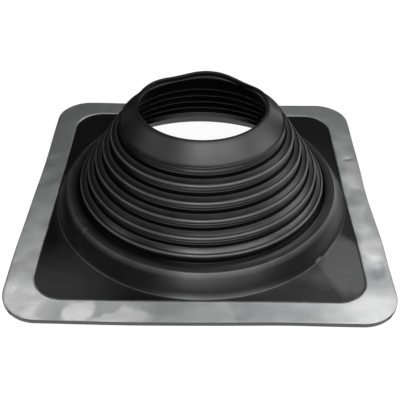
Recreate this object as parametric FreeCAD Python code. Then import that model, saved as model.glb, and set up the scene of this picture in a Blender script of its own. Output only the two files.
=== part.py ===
"""Pipe flashing boot: a stepped rubber cone on a square base with a soft aluminium edging strip.

Millimetres, +Z up along the pipe. The origin is the middle of the underside.
"""
import FreeCAD, Part
import math
import os

V = FreeCAD.Vector

# Base
BASE_SIDE = 440.0          # over the turned-down edge of the strip
BASE_CORNER = 44.0         # plan radius of the outer corners
FLANGE_THICK = 3.4         # rubber plate of the base
SEAL_GROOVES = 2           # grooves that leave sealing ribs under the rim
SEAL_PITCH = 10.0
SEAL_WIDTH = 3.0
SEAL_DEPTH = 0.9
SEAL_INSET = 12.0          # from the edge of the plate to the first groove

# Aluminium edging strip
STRIP_WIDTH = 30.8
WINDOW_CORNER = 38.0
STRIP_THICK = 1.6
STRIP_TOP = FLANGE_THICK + STRIP_THICK
LIP_BOTTOM = 1.2           # the turned edge stops this far above the roof
OUTER_EASE = 1.1           # eased corner of the turned edge
INNER_EASE = 0.6

# Stepped cone: ring 0 is the top one
RING_COUNT = 6
TOP_RING_RADIUS = 101.2
TOP_RING_HEIGHT = 121.0
RING_PITCH = 10.75         # each ring is this much wider than the one above
RING_DROP = 16.3           # and this much lower
RISER_TOP = 14.0           # height of the top riser
RISER_LAST = 10.5          # the last riser is shorter, above the skirt
CREASE_WIDTH = 2.2         # sharp crease where a riser meets the tread below
CREASE_DEPTH = 1.5
LAST_CREASE_WIDTH = 4.8    # wide crease above the skirt
WALL = 4.0

# Skirt
SKIRT_RADIUS = 171.6
SKIRT_HEIGHT = 29.0
FOOT_RADIUS = 188.4
OPENING_RADIUS = 177.6     # of the open underside

# Collar and mouth
MOUTH_RADIUS = 76.5
MOUTH_HEIGHT = 141.3
LIP_THICK = 3.8            # flat top of the mouth
LAND_DEPTH = 7.0           # straight wall inside the mouth
COLLAR_SETBACK = 2.0       # the collar starts this far inside the top ring's crest
COLLAR_SINK = 0.7          # and this far below it, so that the two join in one body
COLLAR_EXCESS = 0.25       # the blank of the collar is this share too tall, and is trimmed to the rim
# dips of the soft rim: place round the mouth in degrees from +X, depth, half width along the rim
RIM_DIPS = ((114.0, 4.4, 40.0), (48.0, 5.5, 42.0))
DIP_HOLLOW_SHARE = 0.4     # share of a dip's bend that is hollow; the rest is its two round shoulders
RIM_POINTS = 36


def rounded_square(side, corner, z):
    """Closed wire of a square with round corners, centred on the axis."""
    half = side / 2
    run = half - corner
    diagonal = run + corner * math.cos(math.pi / 4)
    edges = []
    for quarter in range(4):
        turn = FreeCAD.Rotation(V(0, 0, 1), 90 * quarter)
        start = turn.multVec(V(half, -run, z))
        end = turn.multVec(V(half, run, z))
        middle = turn.multVec(V(diagonal, diagonal, z))
        corner_end = turn.multVec(V(run, half, z))
        edges.append(Part.LineSegment(start, end).toShape())
        edges.append(Part.Arc(end, middle, corner_end).toShape())
    return Part.Wire(edges)


def plate(side, corner, bottom, top):
    """Flat slab with round corners."""
    face = Part.Face(rounded_square(side, corner, bottom))
    return face.extrude(V(0, 0, top - bottom))


def square_ring(side, corner, width, bottom, top):
    """Band of one width that follows the rounded square inwards from its side."""
    inside = plate(side - 2 * width, corner - width, bottom, top)
    return plate(side, corner, bottom, top).cut(inside)


def ring_radius(ring):
    return TOP_RING_RADIUS + RING_PITCH * ring


def ring_height(ring):
    return TOP_RING_HEIGHT - RING_DROP * ring


def riser_height(ring):
    """Risers shorten towards the skirt, most of all the last."""
    share = (ring / (RING_COUNT - 1)) ** 3
    return RISER_TOP - (RISER_TOP - RISER_LAST) * share


class Profile:
    """Outline in the r-z plane, drawn point to point."""

    def __init__(self, radius, height):
        self.at = V(radius, 0, height)
        self.edges = []

    def line(self, radius, height):
        end = V(radius, 0, height)
        self.edges.append(Part.LineSegment(self.at, end).toShape())
        self.at = end

    def revolve(self):
        face = Part.Face(Part.Wire(self.edges))
        return face.revolve(V(0, 0, 0), V(0, 0, 1), 360)


def draw_ring(profile, ring):
    """One ring: crest, riser, and the crease at its foot, where the next tread starts."""
    radius = ring_radius(ring)
    foot = ring_height(ring) - riser_height(ring)
    width = LAST_CREASE_WIDTH if ring == RING_COUNT - 1 else CREASE_WIDTH
    profile.line(radius, ring_height(ring))
    profile.line(radius, foot - CREASE_DEPTH)
    profile.line(radius + width, foot)


def draw_outside(profile):
    """Down the rings and the skirt to its foot on the flange."""
    for ring in range(RING_COUNT):
        draw_ring(profile, ring)
    profile.line(SKIRT_RADIUS, SKIRT_HEIGHT)
    profile.line(FOOT_RADIUS, FLANGE_THICK)
    profile.line(FOOT_RADIUS, 0)


def draw_inside(profile):
    """Back up the inside, one wall thickness behind the steps."""
    profile.line(OPENING_RADIUS, 0)
    profile.line(SKIRT_RADIUS - WALL, SKIRT_HEIGHT - WALL)
    for ring in reversed(range(RING_COUNT)):
        inner_radius = ring_radius(ring) - WALL
        foot = ring_height(ring) - riser_height(ring)
        profile.line(inner_radius, foot - WALL)
        profile.line(inner_radius, ring_height(ring) - WALL)


def ringed_cone():
    """The rings and the skirt as one turned wall, open at both ends."""
    seat_radius = TOP_RING_RADIUS - 2 * WALL
    profile = Profile(seat_radius, TOP_RING_HEIGHT)
    draw_outside(profile)
    draw_inside(profile)
    profile.line(seat_radius, TOP_RING_HEIGHT - WALL)
    profile.line(seat_radius, TOP_RING_HEIGHT)
    return profile.revolve()


def dip_radii(depth, half_width):
    """Radii of a dip's hollow and of its shoulders, and the slope where they meet smoothly."""
    bend = 2 * math.atan(depth / half_width)
    both = half_width / math.sin(bend)
    return both * DIP_HOLLOW_SHARE, both * (1 - DIP_HOLLOW_SHARE), bend


def dip_at(distance, depth, half_width):
    """How far the rim lies below its level, this far along it from the middle of a dip."""
    hollow, shoulder, bend = dip_radii(depth, half_width)
    distance = abs(distance)
    if distance >= half_width:
        return 0
    if distance <= hollow * math.sin(bend):
        return depth - hollow + math.sqrt(hollow ** 2 - distance ** 2)
    return shoulder - math.sqrt(shoulder ** 2 - (half_width - distance) ** 2)


def rim_height(angle):
    """Height of the mouth's rim: level, with shallow dips where the soft collar sags."""
    height = MOUTH_HEIGHT
    for place, depth, half_width in RIM_DIPS:
        away = math.radians(angle - place)
        if math.cos(away) > 0:
            height -= dip_at(MOUTH_RADIUS * math.sin(away), depth, half_width)
    return height


def dip_tool(place, depth, half_width):
    """Cutter for one dip: its hollow and shoulders drawn across the rim, run outwards."""
    hollow, _, bend = dip_radii(depth, half_width)
    turn = FreeCAD.Rotation(V(0, 0, 1), place)
    inner = hollow * math.sin(bend)
    middle = (half_width + inner) / 2
    points = []
    for along in (-half_width, -middle, -inner, 0, inner, middle, half_width):
        height = MOUTH_HEIGHT - dip_at(along, depth, half_width)
        points.append(turn.multVec(V(MOUTH_RADIUS / 2, along, height)))
    edges = []
    for start in (0, 2, 4):
        edges.append(Part.Arc(*points[start:start + 3]).toShape())
    above = V(0, 0, 2 * MOUTH_RADIUS)
    corners = [points[6], points[6] + above, points[0] + above, points[0]]
    for start in range(3):
        edges.append(Part.LineSegment(corners[start], corners[start + 1]).toShape())
    face = Part.Face(Part.Wire(edges))
    return face.extrude(turn.multVec(V(MOUTH_RADIUS, 0, 0)))


def rim_tools():
    """Everything above the rim: the level part and its dips."""
    tools = [dip_tool(*dip) for dip in RIM_DIPS]
    tools.append(Part.makeCylinder(2 * MOUTH_RADIUS, 2 * MOUTH_RADIUS, V(0, 0, MOUTH_HEIGHT)))
    return tools


def closed_curve(radius, height_at):
    """Smooth closed curve at one radius, with its height given for each angle."""
    points = []
    for index in range(RIM_POINTS):
        angle = 360.0 * index / RIM_POINTS
        direction = math.radians(angle)
        across = radius * math.cos(direction)
        along = radius * math.sin(direction)
        points.append(V(across, along, height_at(angle)))
    curve = Part.BSplineCurve()
    curve.interpolate(points, PeriodicFlag=True)
    return Part.Wire([curve.toShape()])


def collar_blank():
    """Solid tapered plug on the top ring whose side passes through the dipping rim."""
    foot_radius = TOP_RING_RADIUS - COLLAR_SETBACK
    foot_height = TOP_RING_HEIGHT - COLLAR_SINK
    reach = 1 + COLLAR_EXCESS
    top_radius = foot_radius + reach * (MOUTH_RADIUS + LIP_THICK - foot_radius)
    sections = [
        closed_curve(foot_radius, lambda angle: foot_height - WALL / 2),
        closed_curve(foot_radius, lambda angle: foot_height),
        closed_curve(top_radius, lambda angle: foot_height + reach * (rim_height(angle) - foot_height)),
        closed_curve(MOUTH_RADIUS / 2, lambda angle: MOUTH_HEIGHT + LIP_THICK),
    ]
    return Part.makeLoft(sections, True, True)


def collar_hollow():
    """What hollows the collar: a taper, and the straight land of the mouth."""
    base_height = TOP_RING_HEIGHT - WALL - COLLAR_SINK
    taper_height = MOUTH_HEIGHT - LAND_DEPTH - base_height
    taper = Part.makeCone(TOP_RING_RADIUS - WALL, MOUTH_RADIUS, taper_height, V(0, 0, base_height))
    land = Part.makeCylinder(MOUTH_RADIUS, 2 * MOUTH_RADIUS, V(0, 0, base_height))
    return taper.fuse(land)


def seal_grooves():
    """Grooves round the underside of the rim, which leave sealing ribs between them."""
    grooves = []
    for index in range(SEAL_GROOVES):
        inset = STRIP_THICK + SEAL_INSET + SEAL_PITCH * index
        corner = BASE_CORNER - inset
        grooves.append(square_ring(BASE_SIDE - 2 * inset, corner, SEAL_WIDTH, 0, SEAL_DEPTH))
    return grooves


def flange():
    """Rubber plate of the base, open under the cone, with sealing ribs below its rim."""
    slab = plate(BASE_SIDE - 2 * STRIP_THICK, BASE_CORNER - STRIP_THICK, 0, FLANGE_THICK)
    hole = Part.makeCylinder((OPENING_RADIUS + FOOT_RADIUS) / 2, FLANGE_THICK)
    return slab.cut([hole] + seal_grooves())


def rubber_boot():
    shell = ringed_cone().fuse([collar_blank(), flange()])
    return shell.cut([collar_hollow()] + rim_tools()).removeSplitter()


def edges_at(shape, height, side):
    """Edges that lie at one height and follow the rounded square of one side."""
    found = []
    for edge in shape.Edges:
        box = edge.BoundBox
        reach = max(box.XMax, box.YMax, -box.XMin, -box.YMin)
        level = abs(box.ZMin - height) < 0.01 and abs(box.ZMax - height) < 0.01
        if level and abs(reach - side / 2) < 0.01:
            found.append(edge)
    return found


def aluminium_frame():
    """Window-shaped strip, its outer edge turned down over the rubber and both edges eased."""
    window = BASE_SIDE - 2 * STRIP_WIDTH
    strip = plate(BASE_SIDE, BASE_CORNER, LIP_BOTTOM, STRIP_TOP)
    opening = plate(window, WINDOW_CORNER, LIP_BOTTOM, STRIP_TOP)
    seat = plate(BASE_SIDE - 2 * STRIP_THICK, BASE_CORNER - STRIP_THICK, LIP_BOTTOM, FLANGE_THICK)
    strip = strip.cut([opening, seat]).removeSplitter()
    strip = strip.makeChamfer(OUTER_EASE, edges_at(strip, STRIP_TOP, BASE_SIDE))
    return strip.makeChamfer(INNER_EASE, edges_at(strip, STRIP_TOP, window))


def main():
    os.makedirs("parts", exist_ok=True)
    rubber_boot().exportStep("parts/rubber_boot.step")
    aluminium_frame().exportStep("parts/aluminium_frame.step")


if __name__ == "__main__":
    main()
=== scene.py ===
"""Looks of the pipe flashing boot: a stepped black rubber cone on a square base edged with soft aluminium.

Metres, +Z up, origin in the middle of the underside. Sizes in the tables below are in millimetres.
"""
import math

import bmesh
import bpy
from mathutils import Matrix, Vector


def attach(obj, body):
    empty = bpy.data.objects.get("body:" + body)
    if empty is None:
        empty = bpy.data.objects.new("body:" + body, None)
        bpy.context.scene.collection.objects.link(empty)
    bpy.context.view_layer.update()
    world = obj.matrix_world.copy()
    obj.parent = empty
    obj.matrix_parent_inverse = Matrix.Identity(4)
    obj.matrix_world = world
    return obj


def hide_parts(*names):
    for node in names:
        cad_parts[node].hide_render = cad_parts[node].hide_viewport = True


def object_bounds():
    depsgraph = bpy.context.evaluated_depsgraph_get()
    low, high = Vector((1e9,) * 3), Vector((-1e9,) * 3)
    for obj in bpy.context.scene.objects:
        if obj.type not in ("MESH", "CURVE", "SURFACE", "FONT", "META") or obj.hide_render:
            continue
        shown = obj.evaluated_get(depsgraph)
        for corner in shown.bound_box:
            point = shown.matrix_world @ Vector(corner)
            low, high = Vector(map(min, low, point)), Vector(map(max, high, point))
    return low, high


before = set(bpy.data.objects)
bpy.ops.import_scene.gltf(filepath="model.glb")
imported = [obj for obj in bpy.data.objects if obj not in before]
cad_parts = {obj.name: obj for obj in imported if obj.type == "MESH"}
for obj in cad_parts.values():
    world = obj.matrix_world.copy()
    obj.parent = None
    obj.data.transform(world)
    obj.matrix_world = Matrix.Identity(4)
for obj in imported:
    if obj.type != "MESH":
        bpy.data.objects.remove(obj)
cad_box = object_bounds()

MM = 0.001

# Base: the metal strip round its rim, and the rubber plate inside
STRIP_SIDE = round((cad_box[1][0] - cad_box[0][0]) / MM, 1)
STRIP_CORNER = 44.0
STRIP_THICK = 1.6
STRIP_WIDTH = 30.8
STRIP_FOLD = 0.8               # outside radius of the turned-down edge
FOLD_STEPS = 4                 # faces round that radius
FOLD_DARK = 0.35               # width over which the fold goes dark
FOLD_BOTTOM = 0.1              # the turned edge stops this far above the roof
WINDOW_SIDE = STRIP_SIDE - 2 * STRIP_WIDTH
WINDOW_CORNER = 38.0
PLATE_SIDE = STRIP_SIDE - 2 * STRIP_THICK
PLATE_CORNER = STRIP_CORNER - STRIP_THICK
PLATE_THICK = 3.4
STRIP_TOP = PLATE_THICK + STRIP_THICK
SEAL_INSETS = (12.0, 22.0)     # from the edge of the plate to each sealing groove under it
SEAL_WIDTH = 3.0
SEAL_DEPTH = 0.9

# Stepped cone, ring 0 on top
RINGS = 6
TOP_RING = (101.2, 121.0)      # radius and height of its crest
RING_STEP = (10.75, 16.3)      # outwards and down to the next crest
RISER_TOP = 14.0               # height of the top riser
RISER_LAST = 10.5              # and of the last one
CREASE_WIDTH = 2.2
LAST_CREASE_WIDTH = 4.8
CREASE_DEPTH = 2.6
CREST_ROUND = 2.9              # radius of the round crest of each ring
CREST_STAND = (0.1, 0.2)       # how far it stands out and up
GROOVE_DEPTH = 0.7             # fine groove just below the crest
GROOVE_DROP = 5.15             # from the crest down to the foot of that groove
RIB_DROP = 5.4                 # from the crest down to the first fine rib
RIB_PITCH = 3.3                # fine ribs round each riser
RIB_HEIGHT = 0.35
RIB_COUNT = 2
RIB_SHAPE = ((0.0, 0.0), (0.14, 0.7), (0.38, 1.0), (0.62, 0.8), (0.86, 0.0))   # shares of pitch and height
CREASE_LIP = 0.65              # radius of the raised lip on a crease's outer side
WALL = 4.0                     # of the rubber

# Skirt
SKIRT = (171.6, 29.0)          # radius and height of its crest
SKIRT_ROUND = 1.4              # radius of its crest
FOOT = (188.4, PLATE_THICK)
FOOT_STEP = 0.45               # radius of the fine step at its foot
OPENING = 177.6                # radius of the open underside

# Collar
MOUTH = 76.5                   # radius of the mouth
MOUTH_HEIGHT = round(cad_box[1][2] / MM, 1)
LIP = 3.8                      # flat width of the rim
LAND = 5.0                     # straight wall inside the mouth
LIP_EASE = 0.5                 # eased inner edge of the lip
LIP_CORNER = 0.25              # and its outer edge
COLLAR_FOOT = (99.2, 120.3)
COLLAR_HOLLOW = 0.5            # the flank of the collar is this hollow
COLLAR_BAND = ((1.0, 0.75), (0.75, 1.1), (1.0, 1.6), (1.35, 2.4), (1.35, 4.0), (0.9, 4.8))   # inwards, down
SAG_FROM = 3.0                 # the sag of the rim starts this far below the collar's foot
RIM_DIPS = ((114.0, 4.4, 19.0), (48.0, 5.5, 20.0))   # degrees from +X, depth, half width in degrees

# Bows of the soft strip: place along the side, outwards, half length. Its inner edge moves less.
INNER_BOW = 0.45
STRIP_BOWS = {
    "front": ((-70, 1.6, 90), (95, -0.9, 45)),
    "back": ((-165, 1.0, 40), (140, -0.8, 40)),
    "right": ((0, -1.9, 50), (-95, 0.8, 28), (165, 0.9, 35)),
    "left": ((60, -1.7, 70), (-120, 1.0, 45)),
}
# Shallow dents: x, y, half width, depth
STRIP_DENTS = (
    (205, 78, 6, 0.5), (202, -139, 13, 0.5), (-160, -206, 16, 0.5), (44, -210, 9, 0.5),
    (-95, -204, 22, 0.35), (110, -205, 26, 0.4), (-201, -60, 26, 0.4), (202, 10, 24, 0.4),
    (-200, 90, 20, 0.35), (120, 204, 26, 0.3), (-130, 204, 24, 0.3), (0, -205, 14, 0.3),
)

# Wearing and painted light on the rubber, from -1, painted shade in deep black, to 1, lighter grey that is
# partly wearing and partly painted highlight
# Painted shade: the flat lip of the rim, and the inside of the mouth and of the rings
LIP_PAINTED_SHADE = -0.9
INSIDE_PAINTED_SHADE = -0.75
INSIDE_BAND = (3.0, 20.0)      # the inside of a ring lies this far below its crest
# Painted highlight on the inner edges of the steps inside
INNER_EDGE_PAINTED_HIGHLIGHT = 0.2
# Most painted highlight, with some wearing on the crests, and how far it fades over
INNER_EDGE = (1.0, 1.3)
TOP_CREST = (0.15, 2.4)
OTHER_CREST = (1.0, 2.4)
CREASE_EDGE = (0.6, 2.0)
SKIRT_CREST = (0.8, 2.8)
FOOT_EDGE = (0.7, 1.6)
CREASE_PAINTED_SHADE = (-1.6, 1.6, 3.2)   # painted shade in each crease, fading over the two lengths outwards and upwards

TURN_STEPS = 256               # faces round the cone
CORNER_STEPS = 24              # faces round each corner of the base
PLATE_CUTS = 8                 # faces from the skirt's foot to the edge of the plate
UNDERSIDE_CUTS = 3
STRIP_CUTS = 12
LIFT = 10.0                    # between the levels that outlines are bridged at, before they are brought down
TOUCH = 0.00001                # points nearer than this, in metres, are one
SMOOTH_ANGLE = 40              # edges sharper than this stay sharp

ROOM_SIZE = 8.0
ROOM_GLOW = 0.04               # what the room gives off beside the lamps

# Camera, in metres and degrees
LENS = 59.0
CAMERA_PLACE = (0.00177, -0.6729, 0.553)
CAMERA_DOWN = 39.86
CAMERA_ASIDE = -0.29
CAMERA_TILT = 0.55


# ---------------------------------------------------------------- modelling by hand

def at(radius, height):
    return Vector((radius * MM, 0, height * MM))


def arc(middle, radius, start, end, steps):
    """Points of an arc in the profile. Angles in degrees, 0 outwards and 90 up."""
    points = []
    for step in range(steps + 1):
        angle = math.radians(start + (end - start) * step / steps)
        points.append((middle[0] + radius * math.cos(angle), middle[1] + radius * math.sin(angle)))
    return points


def start_piece(name):
    """A new piece with a single point at the origin, open for editing."""
    bpy.ops.object.select_all(action="DESELECT")
    bpy.ops.mesh.primitive_plane_add(size=MM)
    piece = bpy.context.object
    piece.name = piece.data.name = name
    bpy.ops.object.mode_set(mode="EDIT")
    bpy.ops.mesh.select_mode(type="VERT")
    bpy.ops.mesh.select_all(action="SELECT")
    bpy.ops.mesh.merge(type="CENTER")
    return piece


def draw_profile(points):
    """Draws the selected point out along the profile, one short edge at a time."""
    here = at(*points[0])
    bpy.ops.transform.translate(value=here)
    for point in points[1:]:
        there = at(*point)
        bpy.ops.mesh.extrude_vertices_move(TRANSFORM_OT_translate={"value": there - here})
        here = there


def pick(piece, wanted, kind="verts"):
    """Selects the points, edges or faces that are wanted, and nothing else."""
    bpy.ops.mesh.select_all(action="DESELECT")
    mesh = bmesh.from_edit_mesh(piece.data)
    for part in getattr(mesh, kind):
        if wanted(part):
            part.select = True
    mesh.select_flush_mode()
    bmesh.update_edit_mesh(piece.data)


def add_outline(piece, side, corner, height, steps_round):
    """Adds a square outline with round corners, with the same number of points as the cone's foot."""
    bpy.ops.mesh.select_all(action="DESELECT")
    bpy.ops.mesh.primitive_plane_add(size=side * MM, location=(0, 0, height * MM))
    bpy.ops.mesh.bevel(offset=corner * MM, segments=CORNER_STEPS, affect="VERTICES", profile=0.5)
    bpy.ops.mesh.delete(type="ONLY_FACE")
    limit = (side / 2 - corner) * MM
    level = height * MM

    def straight(edge):
        return abs(edge.verts[0].co.z - level) < TOUCH / 10 and edge.calc_length() > limit

    bpy.ops.mesh.select_mode(type="EDGE")
    pick(piece, straight, "edges")
    bpy.ops.mesh.subdivide(number_cuts=steps_round // 4 - CORNER_STEPS - 1)
    bpy.ops.mesh.select_mode(type="VERT")


def bridge(piece, wanted, cuts=0):
    """Bridges the open edges whose two ends are wanted."""
    def open_and_wanted(edge):
        return (edge.is_boundary or edge.is_wire) and all(wanted(point.co) for point in edge.verts)

    bpy.ops.mesh.select_mode(type="EDGE")
    pick(piece, open_and_wanted, "edges")
    bpy.ops.mesh.bridge_edge_loops(number_cuts=cuts, interpolation="LINEAR")
    bpy.ops.mesh.select_mode(type="VERT")


def anywhere(place):
    return True


def radius_of(place):
    return math.hypot(place.x, place.y)


def hump(distance, half):
    """Smooth hump, 1 in its middle."""
    return math.exp(-(distance / half) ** 2)


def flatten(piece, wanted, height):
    """Brings the wanted points to one level."""
    pick(piece, wanted)
    bpy.ops.transform.resize(value=(1, 1, 0), center_override=(0, 0, height * MM))


def bridge_levels(piece, upper, lower):
    """Bridges the strip's outer open edges at one level to those at another."""
    middle = (WINDOW_SIDE + STRIP_SIDE) / 4 * MM

    def outer_at_level(place):
        nearest = min(abs(place.z - upper * MM), abs(place.z - lower * MM))
        return nearest < TOUCH and max(abs(place.x), abs(place.y)) > middle

    bridge(piece, outer_at_level)


def push(piece, axis, distance_at):
    """Moves the surface along an axis by the distance that each place asks for."""
    distances = [distance_at(vertex.co) for vertex in piece.data.vertices]
    for sign in (1, -1):
        most = max(sign * distance for distance in distances)
        if most <= 0:
            continue
        group = piece.vertex_groups.new(name="push")
        for index, distance in enumerate(distances):
            if sign * distance > 0:
                group.add([index], sign * distance / most, "REPLACE")
        change = piece.modifiers.new("push", "DISPLACE")
        change.direction = axis
        change.vertex_group = group.name
        change.mid_level = 0
        change.strength = sign * most
        bpy.ops.object.modifier_apply(modifier=change.name)
        piece.vertex_groups.clear()


def close_piece():
    """Merges doubles, turns all faces outwards and shades them smooth, apart from sharp edges."""
    bpy.ops.mesh.select_all(action="SELECT")
    bpy.ops.mesh.remove_doubles(threshold=TOUCH)
    bpy.ops.mesh.normals_make_consistent(inside=False)
    bpy.ops.object.mode_set(mode="OBJECT")
    bpy.ops.object.shade_smooth_by_angle(angle=math.radians(SMOOTH_ANGLE))


def mark(piece, name, value_at):
    """Keeps a value with the surface, for the finish to read."""
    marks = piece.data.attributes.new(name, "FLOAT", "POINT")
    for vertex, kept in zip(piece.data.vertices, marks.data):
        kept.value = value_at(vertex.co)


# ---------------------------------------------------------------- bows shared by the strip and the plate

def strip_bow(side, place):
    """How far a side of the hand-formed strip bows outwards, in millimetres."""
    along, outwards = (place.x, place.y) if side in ("front", "back") else (place.y, place.x)
    reach = abs(outwards) / MM
    if reach < WINDOW_SIDE / 2 - 1 or (outwards > 0) != (side in ("back", "right")):
        return 0
    bow = sum(amount * hump(along / MM - middle, half) for middle, amount, half in STRIP_BOWS[side])
    share = (reach - WINDOW_SIDE / 2) / ((STRIP_SIDE - WINDOW_SIDE) / 2)
    return bow * (INNER_BOW + (1 - INNER_BOW) * share)


def bow_x(place):
    return (strip_bow("right", place) - strip_bow("left", place)) * MM


def bow_y(place):
    return (strip_bow("back", place) - strip_bow("front", place)) * MM


# ---------------------------------------------------------------- rubber boot

def ring_crest(ring):
    return TOP_RING[0] + RING_STEP[0] * ring, TOP_RING[1] - RING_STEP[1] * ring


def riser_foot(ring):
    """The risers get shorter towards the last ring."""
    share = (ring / (RINGS - 1)) ** 3
    return ring_crest(ring)[1] - RISER_TOP + (RISER_TOP - RISER_LAST) * share


def round_crest(radius, height):
    """Round crest, standing a little proud, with a fine groove below it."""
    middle = (radius - CREST_ROUND + CREST_STAND[0], height - CREST_ROUND + CREST_STAND[1])
    points = arc(middle, CREST_ROUND, 105, -28, 12)
    points.append((radius - 0.45 - GROOVE_DEPTH, height - GROOVE_DROP + 0.4))
    points.append((radius - 0.35 - GROOVE_DEPTH, height - GROOVE_DROP))
    return points


def collar_band(radius, height):
    """Shallow hollow band where the collar meets the top riser."""
    return [(radius - inward, height - down) for inward, down in COLLAR_BAND]


def riser_ribs(radius, top, bottom):
    """Fine ribs down a riser."""
    points = []
    for rib in range(RIB_COUNT):
        height = top - RIB_PITCH * rib
        if height - RIB_PITCH * 0.9 < bottom:
            break
        for share, rise in RIB_SHAPE:
            points.append((radius - 0.5 + RIB_HEIGHT * rise, height - RIB_PITCH * share))
    return points


def crease(radius, foot, width):
    """Sharp deep crease at a riser's foot, with a thin raised lip on its outer side."""
    points = [(radius - 0.9, foot + 2.4), (radius - 1.3, foot + 0.8)]
    points.append((radius - 1.35, foot - CREASE_DEPTH + 0.4))
    points.append((radius - 1.05, foot - CREASE_DEPTH))
    points.append((radius - 0.4 + 0.45 * width, foot - CREASE_DEPTH * 0.85))
    points.append((radius + width - 0.3, foot - 0.2))
    points += arc((radius + width + 0.35, foot - 0.25), CREASE_LIP, 150, 40, 5)
    points.append((radius + width + 1.5, foot - 0.1))
    return points


def outer_rings():
    """All rings from the top one down: crest, ribbed riser and crease. The last riser has no ribs."""
    points = []
    for ring in range(RINGS):
        radius, height = ring_crest(ring)
        foot = riser_foot(ring)
        last = ring == RINGS - 1
        points += round_crest(radius, height) if ring else collar_band(radius, height)
        if not last:
            points += riser_ribs(radius, height - RIB_DROP, foot)
        points += crease(radius, foot, LAST_CREASE_WIDTH if last else CREASE_WIDTH)
    return points


def skirt():
    """Crest of the skirt, its slope, and the fine step at its foot."""
    radius, height = SKIRT
    foot_radius, foot_height = FOOT
    slope = math.degrees(math.atan2(foot_radius - radius, height - foot_height))
    points = arc((radius - SKIRT_ROUND, height - 1.25), SKIRT_ROUND, 110, slope, 7)
    for share in (0.25, 0.5, 0.75):
        outward = share * (foot_radius - radius - 1.2)
        down = share * (height - 2.2 - foot_height)
        points.append((radius + 0.2 + outward, height - 0.5 - down))
    points.append((foot_radius - 1.5, foot_height + 1.3))
    points += arc((foot_radius - 0.7, foot_height + FOOT_STEP), FOOT_STEP, 120, 20, 4)
    points.append((foot_radius, foot_height))
    return points


def collar():
    """From the land inside the mouth over the flat lip and down the flank to its foot."""
    rim = MOUTH + LIP
    points = [(MOUTH + 0.5, MOUTH_HEIGHT - LAND - 0.7)]
    points.append((MOUTH, MOUTH_HEIGHT - LAND))
    points.append((MOUTH, MOUTH_HEIGHT - LAND / 2))
    points += arc((MOUTH + LIP_EASE, MOUTH_HEIGHT - LIP_EASE), LIP_EASE, 180, 90, 3)
    points.append((MOUTH + LIP / 2, MOUTH_HEIGHT))
    points += arc((rim - LIP_CORNER, MOUTH_HEIGHT - LIP_CORNER), LIP_CORNER, 90, 42, 2)
    for share in (0.12, 0.25, 0.38, 0.5, 0.62, 0.75, 0.87, 0.95):
        hollow = COLLAR_HOLLOW * math.sin(math.pi * share)
        outward = share * (COLLAR_FOOT[0] - rim) - hollow
        down = share * (MOUTH_HEIGHT - COLLAR_FOOT[1]) + hollow
        points.append((rim + outward, MOUTH_HEIGHT - 0.3 - down))
    points.append((COLLAR_FOOT[0] + 0.3, COLLAR_FOOT[1] + 0.1))
    return points


def inner_steps():
    """Inside of the skirt and rings, from the open underside up to the collar."""
    points = [(OPENING, 0), (SKIRT[0] - WALL, SKIRT[1] - WALL)]
    for ring in reversed(range(RINGS)):
        radius = ring_crest(ring)[0] - WALL
        bottom = riser_foot(ring) - WALL
        top = ring_crest(ring)[1] - WALL
        points += [(radius + 0.5, bottom - 0.1), (radius, bottom + 0.5)]
        points += [(radius, top - 0.6), (radius - 0.5, top)]
    points.append((TOP_RING[0] - WALL - 1.0, TOP_RING[1] - WALL + 0.2))
    return points


def rim_sag(angle):
    """How far the soft rim sags at an angle round the mouth, in millimetres."""
    return sum(depth * hump(angle - middle, half) for middle, depth, half in RIM_DIPS)


def rim_drop(place):
    """The collar sags most at its rim and not at all below its foot."""
    top = COLLAR_FOOT[1] - SAG_FROM
    height = place.z / MM
    if height < top or radius_of(place) > COLLAR_FOOT[0] * MM:
        return 0
    share = min((height - top) / (MOUTH_HEIGHT - LAND - top), 1)
    return -rim_sag(math.degrees(math.atan2(place.y, place.x))) * share * MM


def wear_and_painted_light_at(radius, height):
    """Painted highlights on edges and crests, with some wearing on the crests (up to 1), and painted shade in
    the creases, on the lip and on the inside (down to -1), at a place in the profile.
    """
    def near(most_and_reach, outward, upward):
        most, reach = most_and_reach
        return most - math.hypot(radius - outward, height - upward) / reach

    # Painted shade on the inside of the mouth
    if height > COLLAR_FOOT[1] and radius < MOUTH + 1.5 + (MOUTH_HEIGHT - height) * 0.9:
        return INSIDE_PAINTED_SHADE
    wear_and_painted_light = 0
    for ring in range(RINGS):
        crest, top = ring_crest(ring)
        foot = riser_foot(ring)
        # Painted highlight on the inner edge of each step inside
        if near(INNER_EDGE, crest - WALL, foot - WALL) > 0:
            return INNER_EDGE_PAINTED_HIGHLIGHT
        # Painted shade on the inside of the rings
        if radius < crest - INSIDE_BAND[0] and INSIDE_BAND[0] < top - height < INSIDE_BAND[1]:
            return INSIDE_PAINTED_SHADE
        # Crests lighter, partly wearing and partly painted highlight; the lip of each crease a painted
        # highlight
        wear_and_painted_light = max(wear_and_painted_light, near(OTHER_CREST if ring else TOP_CREST, crest - 0.6, top - 0.9))
        wear_and_painted_light = max(wear_and_painted_light, near(CREASE_EDGE, crest + 3.0, foot))
        # Painted shade deep in the crease
        darkest, across, upright = CREASE_PAINTED_SHADE
        depth = 1 - math.hypot((radius - crest - 0.2) / across, (height - foot + 0.6) / upright)
        if depth > 0:
            return darkest * depth
    # Skirt crest partly wearing and partly painted highlight; the fine step at the foot a painted highlight
    wear_and_painted_light = max(wear_and_painted_light, near(SKIRT_CREST, SKIRT[0] - 0.6, SKIRT[1] - 0.6))
    wear_and_painted_light = max(wear_and_painted_light, near(FOOT_EDGE, FOOT[0] - 0.6, FOOT[1] + 0.8))
    # Painted shade on the flat lip of the rim
    return LIP_PAINTED_SHADE if height > MOUTH_HEIGHT - 0.3 else wear_and_painted_light


def boot_wear_and_painted_light(place):
    return wear_and_painted_light_at(radius_of(place) / MM, place.z / MM)


def outside_skirt(place):
    return radius_of(place) > (FOOT[0] + 1) * MM


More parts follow.
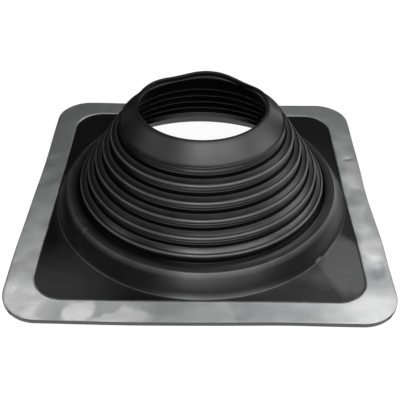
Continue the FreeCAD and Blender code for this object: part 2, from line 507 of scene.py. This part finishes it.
def plate_bow_x(place):
    """The rubber plate's edge follows the strip, and the skirt stays round."""
    return bow_x(place) if outside_skirt(place) else 0


def plate_bow_y(place):
    return bow_y(place) if outside_skirt(place) else 0


def plate_underside(piece):
    """Underside of the plate, from the opening out to its edge, with the sealing grooves.

    Each outline is drawn at a level of its own, bridged to the one before, and then brought to its height.
    """
    outlines = []
    for inset in reversed(SEAL_INSETS):
        inner = inset + SEAL_WIDTH
        outlines += [(inner, 0), (inner, SEAL_DEPTH), (inset, SEAL_DEPTH), (inset, 0)]
    outlines.append((0, 0))
    insets, heights = zip(*outlines)
    for count, inset in enumerate(insets):
        add_outline(piece, PLATE_SIDE - 2 * inset, PLATE_CORNER - inset, -LIFT * (count + 1), TURN_STEPS)
        bridge(piece, lambda place: place.z < MM, cuts=0 if count else UNDERSIDE_CUTS)
    for count, height in enumerate(heights):
        level = -LIFT * (count + 1) * MM
        flatten(piece, lambda point: abs(point.co.z - level) < TOUCH, height)
    flatten(piece, lambda point: point.co.z < -TOUCH, 0)


def make_boot():
    """The turned cone, with the flat plate of the base bridged to its foot and to its underside."""
    piece = start_piece("boot")
    draw_profile(inner_steps() + collar() + outer_rings() + skirt())
    bpy.ops.mesh.select_all(action="SELECT")
    bpy.ops.mesh.spin(steps=TURN_STEPS, angle=2 * math.pi, center=(0, 0, 0), axis=(0, 0, 1))
    bpy.ops.mesh.select_all(action="SELECT")
    bpy.ops.mesh.remove_doubles(threshold=TOUCH)

    add_outline(piece, PLATE_SIDE, PLATE_CORNER, PLATE_THICK + LIFT, TURN_STEPS)
    bridge(piece, lambda place: place.z > MM, PLATE_CUTS)
    flatten(piece, lambda point: radius_of(point.co) > FOOT[0] * MM + TOUCH, PLATE_THICK)
    plate_underside(piece)
    bridge(piece, anywhere)
    close_piece()
    # Keeps the wearing and the painted light and shade of the rubber
    mark(piece, "wear_and_painted_light", boot_wear_and_painted_light)
    push(piece, "Z", rim_drop)
    push(piece, "X", plate_bow_x)
    push(piece, "Y", plate_bow_y)
    return piece


# ---------------------------------------------------------------- edging strip

def strip_fold(place):
    """The folded-down edge, darkened: partly oxide, partly painted shade on its side face and over the
    highlight of its bend.
    """
    corner = STRIP_SIDE / 2 - STRIP_CORNER
    past = [max(abs(along) / MM - corner, 0) for along in (place.x, place.y)]
    reach = math.hypot(*past) - STRIP_CORNER
    return min(max((reach + STRIP_FOLD) / FOLD_DARK, 0), 1)


def strip_dents(place):
    """Shallow waves and dents pressed into the soft strip by hand. The fold's foot stays where it is."""
    level = min(max((place.z / MM - FOLD_BOTTOM) / (STRIP_TOP - FOLD_BOTTOM), 0), 1)
    drop = 0
    for x, y, half, depth in STRIP_DENTS:
        drop += depth * hump(math.hypot(place.x / MM - x, place.y / MM - y), half)
    return -drop * level * MM


def make_strip():
    """Flat strip with a folded-down edge: its top sheet drawn out over the fold, then given its thickness."""
    piece = start_piece("edging_strip")
    bpy.ops.mesh.delete(type="VERT")
    steps = 2 * TURN_STEPS
    add_outline(piece, WINDOW_SIDE, WINDOW_CORNER, STRIP_TOP, steps)
    add_outline(piece, STRIP_SIDE - 2 * STRIP_FOLD, STRIP_CORNER - STRIP_FOLD, STRIP_TOP, steps)
    bridge(piece, anywhere, STRIP_CUTS)
    previous = STRIP_TOP
    for step in range(FOLD_STEPS):
        angle = math.pi / 2 * (step + 1) / FOLD_STEPS
        inset = STRIP_FOLD * (1 - math.sin(angle))
        height = STRIP_TOP - STRIP_FOLD * (1 - math.cos(angle))
        add_outline(piece, STRIP_SIDE - 2 * inset, STRIP_CORNER - inset, height, steps)
        bridge_levels(piece, previous, height)
        previous = height
    add_outline(piece, STRIP_SIDE, STRIP_CORNER, FOLD_BOTTOM, steps)
    bridge_levels(piece, previous, FOLD_BOTTOM)
    close_piece()
    wall = piece.modifiers.new("wall", "SOLIDIFY")
    wall.thickness = STRIP_THICK * MM
    wall.offset = -1
    bpy.ops.object.modifier_apply(modifier=wall.name)
    # Keeps the share of darkening over the turned-down edge, partly oxide and partly painted shade
    mark(piece, "fold", strip_fold)
    push(piece, "X", bow_x)
    push(piece, "Y", bow_y)
    push(piece, "Z", strip_dents)
    return piece


# ---------------------------------------------------------------- finishes

class Value:
    """A shader socket that takes part in sums."""

    def __init__(self, nodes, socket):
        self.nodes = nodes
        self.socket = socket

    def sum(self, operation, first, second):
        return self.nodes.node("ShaderNodeMath", {"operation": operation}, {0: first, 1: second})

    def __add__(self, other):
        return self.sum("ADD", self, other)

    def __sub__(self, other):
        return self.sum("SUBTRACT", self, other)

    def __mul__(self, other):
        return self.sum("MULTIPLY", self, other)

    __radd__ = __add__

    def larger(self, other):
        return self.sum("MAXIMUM", self, other)

    def clamped(self):
        return self.sum("MINIMUM", self.larger(0.0), 1.0)

    def other_output(self, name):
        """Another output of the node that made this value."""
        return Value(self.nodes, self.socket.node.outputs[name])


class Nodes:
    """An emptied node tree that nodes are added to."""

    def __init__(self, tree):
        self.tree = tree
        self.tree.nodes.clear()

    def node(self, kind, settings=None, values=None, output=0):
        """Adds a node with its settings and the numbers or links of its sockets."""
        made = self.tree.nodes.new(kind)
        for name, setting in (settings or {}).items():
            setattr(made, name, setting)
        for name, value in (values or {}).items():
            if isinstance(value, Value):
                self.tree.links.new(value.socket, made.inputs[name])
            else:
                made.inputs[name].default_value = value
        return Value(self, made.outputs[output])

    def end(self, kind, shader):
        """The output node, with the shader on its surface."""
        self.tree.links.new(shader.socket, self.tree.nodes.new(kind).inputs["Surface"])


class Finish(Nodes):
    """A node material for one of the surfaces."""

    def __init__(self, name):
        self.material = bpy.data.materials.new(name)
        self.material.use_nodes = True
        super().__init__(self.material.node_tree)
        self.places = self.node("ShaderNodeTexCoord", output="Object")

    def noise(self, scale, detail=3.0, roughness=0.5):
        values = {"Vector": self.places, "Scale": scale, "Detail": detail, "Roughness": roughness}
        return self.node("ShaderNodeTexNoise", {}, values)

    def ramp(self, value, low, high):
        """Straight ramp from 0, at the low value, to 1, at the high one."""
        values = {"Value": value, "From Min": low, "From Max": high}
        return self.node("ShaderNodeMapRange", {"clamp": True}, values)

    def vectors(self, operation, first, second):
        return self.node("ShaderNodeVectorMath", {"operation": operation}, {0: first, 1: second})

    def kept(self, name):
        """A value that was marked on the mesh."""
        return self.node("ShaderNodeAttribute", {"attribute_name": name}, output="Fac")

    def reach(self, vector):
        return self.node("ShaderNodeVectorMath", {"operation": "LENGTH"}, {0: vector}, output="Value")

    def warped(self, scale, amount):
        """The places, shifted about by a noise, so that patches get uneven edges."""
        drift = self.noise(scale).other_output("Color")
        drift = self.vectors("SUBTRACT", drift, (0.5, 0.5, 0.5))
        return self.vectors("ADD", self.places, self.vectors("MULTIPLY", drift, (amount, amount, amount)))

    def patch(self, places, middle, half, soft, turn=0.0):
        """A soft-edged oval patch, 1 in its middle and 0 outside. Sizes in millimetres."""
        values = {"Vector": places, "Location": (middle[0] * MM, middle[1] * MM, 0)}
        values["Rotation"] = (0, 0, math.radians(turn))
        values["Scale"] = (half[0] * MM, half[1] * MM, 1.0)
        moved = self.node("ShaderNodeMapping", {"vector_type": "TEXTURE"}, values)
        return self.ramp(self.reach(moved), 1 + soft, 1 - soft)

    def patches(self, places, rows):
        """Several patches, each with its strength."""
        marks = None
        for middle, half, soft, strength in rows:
            patch = self.patch(places, middle, half, soft) * strength
            marks = marks.larger(patch) if marks else patch
        return marks

    def mix(self, share, one, other):
        """Mix of two colours."""
        return self.node("ShaderNodeMix", {"data_type": "RGBA"}, {0: share, 6: one, 7: other}, output=2)

    def bump(self, height, depth, strength=1.0, under=None):
        values = {"Height": height, "Distance": depth, "Strength": strength}
        if under:
            values["Normal"] = under
        return self.node("ShaderNodeBump", {}, values)

    def surface(self, shader):
        self.end("ShaderNodeOutputMaterial", shader)
        return self.material


def grey(level, green=0.0, blue=0.0):
    """A grey, with the traces of green and blue that are given."""
    return (level, level + green, level + blue, 1.0)


# Patches: middle and half size in millimetres, softness of the edge, strength
RUBBER_DUST = (
    ((170, -130), (27, 50), 0.16, 1.0),
    ((150, -150), (30, 14), 0.5, 0.5),
    ((-160, -168), (56, 44), 0.6, 0.34),
)
# Lighter patches on the strip: partly metal polished by rubbing, partly painted reflection, brightest at the
# front corners
RUBBED_METAL_AND_PAINTED_REFLECTION = (
    ((-208, -196), (48, 40), 0.5, 1.0),
    ((-131, -207), (15, 19), 0.2, 1.0),
    ((-82, -218), (32, 12), 0.25, 1.0),
    ((204, -200), (52, 30), 0.5, 0.8),
    ((207, -104), (18, 24), 0.4, 1.0),
    ((-200, -110), (22, 50), 0.6, 0.6),
    ((203, 45), (14, 66), 0.6, 0.9),
    ((10, -204), (26, 9), 0.5, 0.25),
)
# Darker patches on the strip: partly dulled metal, partly painted shade at the dents, along the whole back
# side and across the middle of the front
DULL_AND_SHADED_METAL = (
    ((202, -139), (13, 8), 0.5, 1.0),
    ((-162, -207), (14, 22), 0.4, 0.8),
    ((40, -206), (7, 14), 0.5, 0.7),
    ((-25, -206), (30, 16), 0.6, 0.6),
    ((85, -206), (45, 16), 0.5, 0.6),
    ((216, -45), (8, 26), 0.5, 0.6),
    ((0, 206), (230, 24), 0.4, 0.6),
)
COLLAR_BLOOM_AND_HIGHLIGHT = ((8, -66), (94, 70), 0.22)
SMUDGED_CORNER = ((-150, -112), (22, 26), 0.6)
BASE_FADE = (6.2, 4.8)         # heights over which the dust on the base comes in
COLLAR_FADE = (119.5, 121.5)   # and the lighter front of the collar, partly bloom and partly painted highlight
NICKS = (((-137, -102), (3.2, 1.3), 0.4, 35), ((139, -124), (5.5, 1.0), 0.4, 48))
STRIP_DENT = ((205, 78), (4.5, 2.6), 0.9, 20)


def moulded_rubber():
    """Black rubber: lighter along the crests, partly dusty wearing and partly painted highlight, with painted
    highlights on edges, painted shade in the creases, on the lip and inside, and smudged on the base.
    """
    rubber = Finish("moulded_rubber")
    cloud = rubber.noise(14.0)
    bloom = rubber.noise(60.0, 4.0, 0.6)
    grain = rubber.noise(900.0, 2.0)
    specks = rubber.ramp(rubber.noise(330.0, 2.0), 0.70, 0.76)
    loose = rubber.warped(45.0, 0.022)
    height = rubber.node("ShaderNodeSeparateXYZ", {}, {0: rubber.places}, output="Z")

    wear_and_painted_light = rubber.kept("wear_and_painted_light")
    nicks = rubber.patch(rubber.places, *NICKS[0]).larger(rubber.patch(rubber.places, *NICKS[1]))
    # Lighter: nicks, wearing on the crests, and painted highlights on crests and edges
    worn_and_painted_highlight = (wear_and_painted_light * (0.6 + bloom * 0.8) + nicks).clamped()
    # Painted shade: creases, lip and inside
    painted_shade = (wear_and_painted_light * -1.0).clamped()
    on_base = rubber.ramp(height, BASE_FADE[0] * MM, BASE_FADE[1] * MM)
    dust = rubber.patches(loose, RUBBER_DUST) * on_base
    clouded = rubber.ramp(cloud * 0.5 + bloom * 0.5, 0.55, 0.72) * 0.6
    smudge = (rubber.patch(loose, *SMUDGED_CORNER) * rubber.ramp(bloom, 0.45, 0.65)).larger(clouded)
    on_collar = rubber.ramp(height, COLLAR_FADE[0] * MM, COLLAR_FADE[1] * MM)
    # Lighter front half of the collar: partly a dusty bloom, partly painted highlight where the front lamps
    # fall
    collar = on_collar * rubber.patch(loose, *COLLAR_BLOOM_AND_HIGHLIGHT)

    color = rubber.mix(smudge, grey(0.0018, blue=0.0002), grey(0.0075, blue=0.0003))
    color = rubber.mix(collar * (0.35 + cloud * 0.5), color, grey(0.034, blue=0.002))
    color = rubber.mix(dust * (0.55 + bloom * 0.5), color, grey(0.085, blue=0.001))
    color = rubber.mix(worn_and_painted_highlight * 0.9, color, grey(0.085, blue=0.003))
    color = rubber.mix(specks * 0.35, color, grey(0.05))
    # Painted shade in near black
    color = rubber.mix(painted_shade, color, grey(0.002))
    roughness = 0.24 + cloud * 0.10 + bloom * 0.06
    roughness = roughness + dust * 0.16 + painted_shade * 0.10 + smudge * 0.06 + collar * 0.09
    values = {"Base Color": color, "Roughness": roughness, "IOR": 1.5}
    values["Normal"] = rubber.bump(grain * 0.6 + bloom * 0.4, 0.0002, 0.5)
    return rubber.surface(rubber.node("ShaderNodeBsdfPrincipled", {}, values))


def soft_aluminium():
    """Soft sheet, dulled in clouds, with lighter patches that are partly polished by rubbing and partly
    painted reflection, darker patches that are partly dulled metal and partly painted shade, and a
    turned-down edge darkened partly by oxide and partly by painted shade.
    """
    metal = Finish("soft_aluminium")
    waves = metal.noise(16.0, 2.0)
    cloud = metal.noise(48.0, 4.0, 0.6)
    fine = metal.noise(420.0)
    loose = metal.warped(24.0, 0.055)
    rubbed_and_painted_reflection = metal.patches(loose, RUBBED_METAL_AND_PAINTED_REFLECTION)
    dull_and_shaded = metal.patches(loose, DULL_AND_SHADED_METAL)

    clouds = metal.ramp(waves * 0.5 + cloud * 0.5, 0.38, 0.62)
    color = metal.mix(clouds, grey(0.50, 0.005, 0.01), grey(0.60, 0.005, 0.01))
    # Darker patches: partly dulled metal, partly painted shade
    color = metal.mix(dull_and_shaded * 0.7, color, grey(0.33, 0.005, 0.01))
    # Lighter patches: partly polished by rubbing, partly painted reflection
    color = metal.mix(rubbed_and_painted_reflection * 0.9, color, grey(0.86))
    # Turned-down edge darkened: partly oxide, partly painted shade on its side face and over the highlight of
    # its bend
    color = metal.mix(metal.kept("fold"), color, grey(0.11, 0.001, 0.003))
    roughness = (0.34 + cloud * 0.16 + dull_and_shaded * 0.08 - rubbed_and_painted_reflection * 0.03).clamped()
    values = {"Base Color": color, "Roughness": roughness, "Metallic": 1.0}
    dent = metal.patch(metal.places, *STRIP_DENT) * -1.0
    relief = metal.bump(dent, 0.0005, 1.0, metal.bump(waves, 0.004, 0.6))
    values["Normal"] = metal.bump(cloud * 0.7 + fine * 0.3, 0.0005, 0.6, relief)
    return metal.surface(metal.node("ShaderNodeBsdfPrincipled", {}, values))


# ---------------------------------------------------------------- studio

# Lamps: name, place, aim, width and height in metres, power in watts
LAMPS = (
    ("front", (0.32, -1.30, 1.15), (0, 0, 0.06), 1.9, 1.0, 27.0),
    ("front_soft", (0.32, -1.30, 1.15), (0, 0, 0.06), 1.9, 1.0, 7.0),
    ("front_streak", (-0.12, -1.10, 0.95), (0, 0, 0.08), 0.08, 0.7, 3.2),
    ("front_right", (1.05, -0.68, 0.98), (0, 0, 0.08), 0.28, 0.45, 2.6),
    ("left", (-1.30, -0.35, 0.78), (0, 0, 0.06), 0.35, 0.35, 1.2),
    ("right", (1.35, 0.20, 0.90), (0, 0, 0.06), 0.9, 0.7, 7.0),
    ("back_right", (0.55, 0.75, 1.50), (0, 0, 0), 0.5, 0.5, 2.6),
    ("back_left", (-0.55, 0.75, 1.50), (0, 0, 0), 0.45, 0.45, 2.1),
    ("floor_fill", (0.0, -0.60, 0.001), (0, -0.45, 1.0), 1.2, 0.66, 4.0),
)
# Black cards on the floor: name, low corner, high corner
CARDS = (
    ("dark_left", (-2.0, -0.21), (-0.2225, 2.0)),
    ("dark_back", (-0.2225, 0.2225), (0.4, 2.0)),
    ("dark_under", (-0.21, -0.21), (0.21, 0.138)),
)
FLOOR_HEIGHT = -0.0005
CARD_HEIGHT = -0.0002


def seen_rays(nodes):
    """1 for what is looked at, mirrored or seen through, and 0 for the light that is given."""
    path = nodes.node("ShaderNodeLightPath", output="Is Camera Ray")
    mirrored = path.other_output("Is Glossy Ray")
    return path.larger(mirrored).larger(path.other_output("Is Transmission Ray"))


def paper_white():
    """White paper that shows as clean white, with only a trace of the shadow near the boot."""
    paper = Finish("paper_white")
    lit = paper.node("ShaderNodeBsdfDiffuse", {}, {"Color": grey(0.12)})
    tone = paper.mix(paper.ramp(paper.reach(paper.places), 1.0, 3.5), grey(0.93), grey(1.0))
    glow = paper.node("ShaderNodeEmission", {}, {"Color": tone, "Strength": 1.0})
    clean = paper.node("ShaderNodeAddShader", {}, {0: lit, 1: glow})
    plain = paper.node("ShaderNodeBsdfDiffuse", {}, {"Color": grey(0.35)})
    return paper.surface(paper.node("ShaderNodeMixShader", {}, {0: seen_rays(paper), 1: plain, 2: clean}))


def black_card():
    card = Finish("black_card")
    return card.surface(card.node("ShaderNodeBsdfDiffuse", {}, {"Color": grey(0.01)}))


def dark_walls():
    walls = Finish("dark_walls")
    return walls.surface(walls.node("ShaderNodeEmission", {}, {"Strength": ROOM_GLOW}))


def put_on_stage(name, finish):
    """Names the new primitive, a piece of the stage, and gives it its finish."""
    sheet = bpy.context.object
    sheet.name = name
    sheet.data.materials.append(finish)
    return sheet


def only_mirrored(sheet):
    sheet.visible_camera = sheet.visible_diffuse = sheet.visible_shadow = sheet.visible_transmission = False


def lay_floor():
    bpy.ops.object.select_all(action="DESELECT")
    bpy.ops.mesh.primitive_plane_add(size=30.0, location=(0, 0, FLOOR_HEIGHT))
    return put_on_stage("floor", paper_white())


def lay_card(name, low, high, finish):
    """A black card on the floor, seen only in reflections, that keeps the dark side of the rubber dark."""
    middle = ((low[0] + high[0]) / 2, (low[1] + high[1]) / 2, CARD_HEIGHT)
    bpy.ops.object.select_all(action="DESELECT")
    bpy.ops.mesh.primitive_plane_add(size=1.0, location=middle)
    bpy.ops.object.mode_set(mode="EDIT")
    bpy.ops.transform.resize(value=(high[0] - low[0], high[1] - low[1], 1), center_override=middle)
    bpy.ops.object.mode_set(mode="OBJECT")
    only_mirrored(put_on_stage(name, finish))


def build_dark_room():
    """Dark walls a few metres off, seen only in reflections, so that gloss comes from the lamps."""
    bpy.ops.object.select_all(action="DESELECT")
    bpy.ops.mesh.primitive_cube_add(size=ROOM_SIZE)
    bpy.ops.object.mode_set(mode="EDIT")
    bpy.ops.mesh.select_all(action="SELECT")
    bpy.ops.mesh.flip_normals()
    bpy.ops.object.mode_set(mode="OBJECT")
    only_mirrored(put_on_stage("dark_room", dark_walls()))


def hang_lamp(name, place, aim, width, height, power):
    lamp = bpy.data.lights.new(name, "AREA")
    lamp.shape = "RECTANGLE"
    lamp.size = width
    lamp.size_y = height
    lamp.energy = power
    holder = bpy.data.objects.new(name, lamp)
    bpy.context.scene.collection.objects.link(holder)
    holder.location = place
    holder.rotation_euler = (Vector(aim) - Vector(place)).to_track_quat("-Z", "Y").to_euler()
    return holder


def light_only(lamp, *lit):
    """Keeps a lamp's light on the pieces that are named."""
    group = bpy.data.collections.new(lamp.name + "_on")
    for piece in lit:
        group.objects.link(piece)
    lamp.light_linking.receiver_collection = group


def light_surround():
    """White all round for the eye, in reflections and through openings, and faint for the light it gives."""
    world = bpy.data.worlds.new("surround")
    bpy.context.scene.world = world
    world.use_nodes = True
    nodes = Nodes(world.node_tree)
    strength = seen_rays(nodes).larger(ROOM_GLOW)
    back = nodes.node("ShaderNodeBackground", {}, {"Color": grey(1.0), "Strength": strength})
    nodes.end("ShaderNodeOutputWorld", back)


def light_stage(boot, strip, floor):
    """The big front lamp lights the rubber, and a weaker one the strip, which would clip to white."""
    lamps = {row[0]: hang_lamp(*row) for row in LAMPS}
    light_only(lamps["front"], boot, floor)
    light_only(lamps["front_soft"], strip)
    light_only(lamps["back_left"], strip, floor)
    lamps["floor_fill"].visible_camera = False


def set_camera():
    """Looks down on the boot from the front, a little over its mouth."""
    lens = bpy.data.cameras.new("camera")
    lens.sensor_width = 36.0
    lens.lens = LENS
    lens.clip_end = 50
    camera = bpy.data.objects.new("camera", lens)
    bpy.context.scene.collection.objects.link(camera)
    down, aside, tilt = (math.radians(angle) for angle in (CAMERA_DOWN, CAMERA_ASIDE, CAMERA_TILT))
    ahead = Vector((math.sin(aside) * math.cos(down), math.cos(aside) * math.cos(down), -math.sin(down)))
    level = Vector((math.cos(aside), -math.sin(aside), 0))
    upward = level.cross(ahead)
    across = level * math.cos(tilt) + upward * math.sin(tilt)
    rise = upward * math.cos(tilt) - level * math.sin(tilt)
    turn = Matrix((across, rise, -ahead)).transposed()
    camera.matrix_world = Matrix.Translation(CAMERA_PLACE) @ turn.to_4x4()
    bpy.context.scene.camera = camera


# ---------------------------------------------------------------- the boot on its stage

boot = make_boot()
boot.data.materials.append(moulded_rubber())
strip = make_strip()
strip.data.materials.append(soft_aluminium())

for piece, node, slot in ((boot, "rubber_boot", "rubber"), (strip, "aluminium_frame", "aluminium")):
    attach(piece, "root")
    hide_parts(node)
    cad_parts[node].data.materials.clear()
    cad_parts[node].data.materials.append(piece.data.materials[0])

floor = lay_floor()
card_finish = black_card()
for name, low, high in CARDS:
    lay_card(name, low, high, card_finish)
build_dark_room()
light_surround()
light_stage(boot, strip, floor)
set_camera()
bpy.context.scene.view_settings.view_transform = "Standard"
